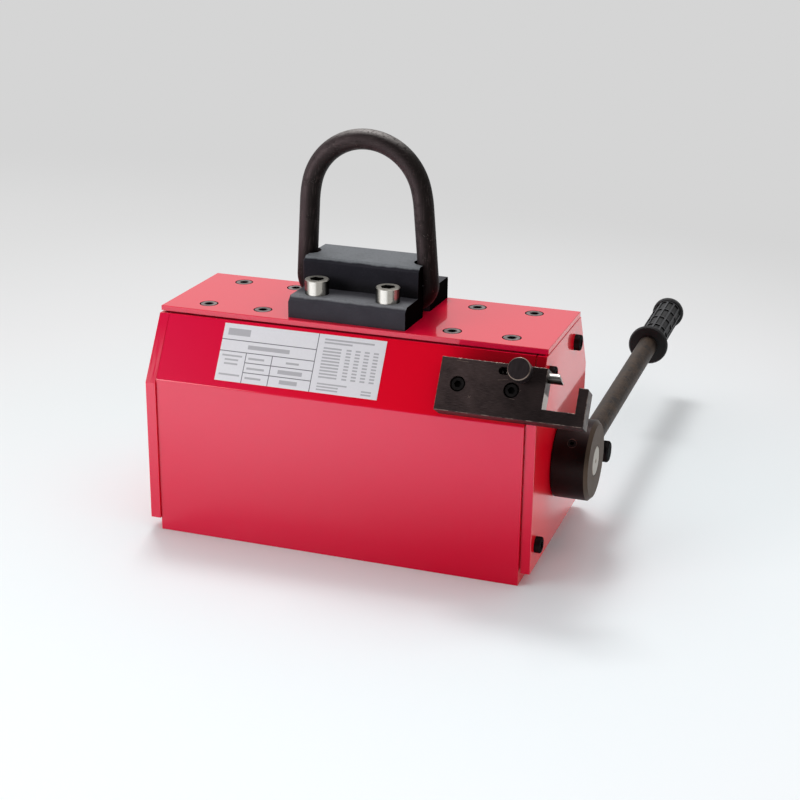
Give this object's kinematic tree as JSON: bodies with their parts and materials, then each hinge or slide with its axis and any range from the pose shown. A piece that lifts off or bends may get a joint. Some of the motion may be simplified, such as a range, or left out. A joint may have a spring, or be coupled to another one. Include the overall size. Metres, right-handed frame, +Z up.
{
  "type": "permanent magnetic lifter",
  "caption": "Magnetic lifter: red steel housing with a flat pole face, a magnet rotor turned by a side lever, a sprung lever lock, and a lifting ring held by a bolted saddle.",
  "frame": {"origin": "middle of the pole face, the flat underside that grips the load", "axes": "+X along the housing towards the lever's end, +Y to the back, the way the lever points when it is OFF, +Z up to the lifting ring"},
  "size_m": [0.4444, 0.6172, 0.3991],
  "materials": {
    "red_enamel": "glossy crimson enamel, bare ground steel on the underside",
    "spacer_alloy": "non-magnetic strip, ground flush",
    "magnet_plating": "plated magnet block",
    "dark_screw": "dark grey phosphated steel",
    "black_oxide": "turned steel, black oxide",
    "bush_bronze": "turned bronze",
    "turned_steel": "turned bare steel",
    "rod_steel": "drawn bar, dull grey-brown",
    "grip_rubber": "moulded black rubber",
    "browned_steel": "milled steel, brown-black oxide with bright worn edges",
    "bright_steel": "polished steel",
    "knob_black": "black with a thin bright rim",
    "spring_steel": "drawn spring wire",
    "charcoal_steel": "matte charcoal phosphate",
    "bright_nickel": "bright nickel plating",
    "forged_bar": "bent round bar with dark forge scale, greyer at the crown"
  },
  "bodies": {
    "housing": {"front_pole": "red_enamel", "rear_pole": "red_enamel", "pole_spacer": "spacer_alloy", "fixed_magnets": "magnet_plating", "top_plate": "red_enamel", "top_plate_screws": "dark_screw", "left_end_plate": "red_enamel", "right_end_plate": "red_enamel", "left_end_screws": "black_oxide", "right_end_screws": "black_oxide", "left_bush": "bush_bronze", "right_bush": "bush_bronze", "lever_stop": "black_oxide", "latch_plate": "browned_steel", "latch_plate_screws": "black_oxide", "latch_spring": "spring_steel", "lug_block": "charcoal_steel", "lug_screws": "bright_nickel", "lifting_ring": "forged_bar"},
    "lever": {"rotor_front_shoe": "turned_steel", "rotor_rear_shoe": "turned_steel", "rotor_magnets": "magnet_plating", "left_rotor_cap": "turned_steel", "right_rotor_cap": "turned_steel", "rotor_cap_screws": "dark_screw", "hub_key": "turned_steel", "lever_hub": "black_oxide", "hub_grub_screw": "black_oxide", "lever_rod": "rod_steel", "lever_grip": "grip_rubber"},
    "latch": {"latch_bolt": "bright_steel", "latch_knob": "knob_black"}
  },
  "joints": [
    {"name": "lever_swing", "type": "hinge", "parent": "housing", "child": "lever", "pos_m": [0.2144, 0, 0.0945], "axis": [1, 0, 0], "range_deg": [0, 134.4]},
    {"name": "latch_slide", "type": "slide", "parent": "housing", "child": "latch", "axis": [-1, 0, 0], "range_m": [0, 0.019], "stiffness_N_per_m": 800, "springref_m": -0.012, "deforming": ["latch_spring"]}
  ]
}
